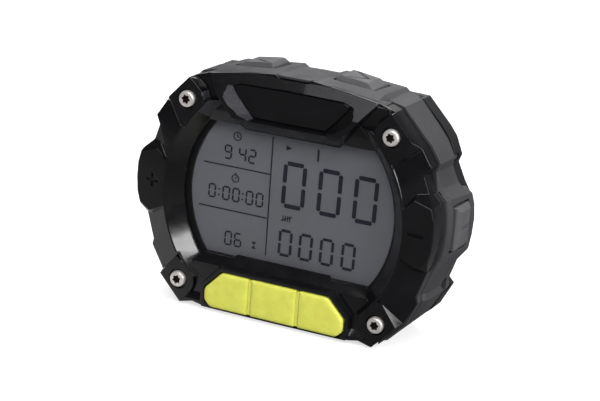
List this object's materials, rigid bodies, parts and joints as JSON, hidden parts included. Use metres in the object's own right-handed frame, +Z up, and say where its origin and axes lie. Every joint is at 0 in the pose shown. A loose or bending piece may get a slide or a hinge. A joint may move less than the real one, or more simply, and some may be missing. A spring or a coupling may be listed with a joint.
{
  "type": "digital tally counter",
  "caption": "Handheld digital tally counter: wide display in a screwed bezel, rubber grip sleeve, side and top push pads, front key strip and a battery bay behind.",
  "frame": {"origin": "centre of the footprint, on the surface that the counter stands on", "axes": "+X to the right as the display is read, +Y from the display towards the back, +Z up"},
  "size_m": [0.1044, 0.031, 0.0774],
  "materials": {
    "bezel": "gloss black",
    "plate": "gloss black, bare",
    "lens": "clear, with a faint grey tint",
    "mask": "matte black",
    "lcd": "satin grey reflective display",
    "diffuser": "matte white",
    "elastomer": "striped elastomer",
    "board": "green solder mask",
    "chip": "matte black",
    "tin": "bright nickel plate",
    "housing": "finely textured black",
    "seal": "matte black silicone",
    "screw": "stainless",
    "cell": "plain printed jacket",
    "sleeve": "matte dark grey",
    "pad": "matte grey silicone",
    "key": "satin lime silicone",
    "insert": "turned"
  },
  "bodies": {
    "housing": {"front_bezel": "bezel", "nameplate": "plate", "display_lens": "lens", "display_mask": "mask", "lcd_panel": "lcd", "backlight_panel": "diffuser", "elastomer_connector": "elastomer", "main_circuit_board": "board", "microcontroller": "chip", "clock_crystal": "tin", "piezo_buzzer": "chip", "plus_switch": "chip", "minus_switch": "chip", "previous_switch": "chip", "next_switch": "chip", "left_key_switch": "chip", "centre_key_switch": "chip", "right_key_switch": "chip", "rear_housing": "housing", "battery_door": "housing", "battery_door_seal": "seal", "battery_door_screw_left": "screw", "battery_door_screw_right": "screw", "battery_cell_upper": "cell", "battery_cell_lower": "cell", "battery_spring_upper": "tin", "battery_spring_lower": "tin", "battery_contact_upper": "tin", "battery_contact_lower": "tin", "grip_sleeve": "sleeve", "keypad_web": "key", "bezel_screw_top_left": "screw", "bezel_screw_top_right": "screw", "bezel_screw_bottom_left": "screw", "bezel_screw_bottom_right": "screw", "threaded_insert_top_left": "insert", "threaded_insert_top_right": "insert", "threaded_insert_bottom_left": "insert", "threaded_insert_bottom_right": "insert", "housing_seal": "seal"},
    "plus_pad": {"plus_pad": "pad"},
    "minus_pad": {"minus_pad": "pad"},
    "previous_pad": {"previous_pad": "pad"},
    "next_pad": {"next_pad": "pad"},
    "left_key": {"left_key": "key"},
    "centre_key": {"centre_key": "key"},
    "right_key": {"right_key": "key"}
  },
  "joints": [
    {"name": "plus_press", "type": "slide", "parent": "housing", "child": "plus_pad", "axis": [1, 0, 0], "range_m": [0, 0.001], "stiffness_N_per_m": 1500},
    {"name": "minus_press", "type": "slide", "parent": "housing", "child": "minus_pad", "axis": [-1, 0, 0], "range_m": [0, 0.001], "stiffness_N_per_m": 1500},
    {"name": "previous_press", "type": "slide", "parent": "housing", "child": "previous_pad", "axis": [0, 0, -1], "range_m": [0, 0.0008], "stiffness_N_per_m": 1500},
    {"name": "next_press", "type": "slide", "parent": "housing", "child": "next_pad", "axis": [0, 0, -1], "range_m": [0, 0.0008], "stiffness_N_per_m": 1500},
    {"name": "left_key_press", "type": "slide", "parent": "housing", "child": "left_key", "axis": [0, 1, 0], "range_m": [0, 0.0008], "stiffness_N_per_m": 2000},
    {"name": "centre_key_press", "type": "slide", "parent": "housing", "child": "centre_key", "axis": [0, 1, 0], "range_m": [0, 0.0008], "stiffness_N_per_m": 2000},
    {"name": "right_key_press", "type": "slide", "parent": "housing", "child": "right_key", "axis": [0, 1, 0], "range_m": [0, 0.0008], "stiffness_N_per_m": 2000}
  ]
}
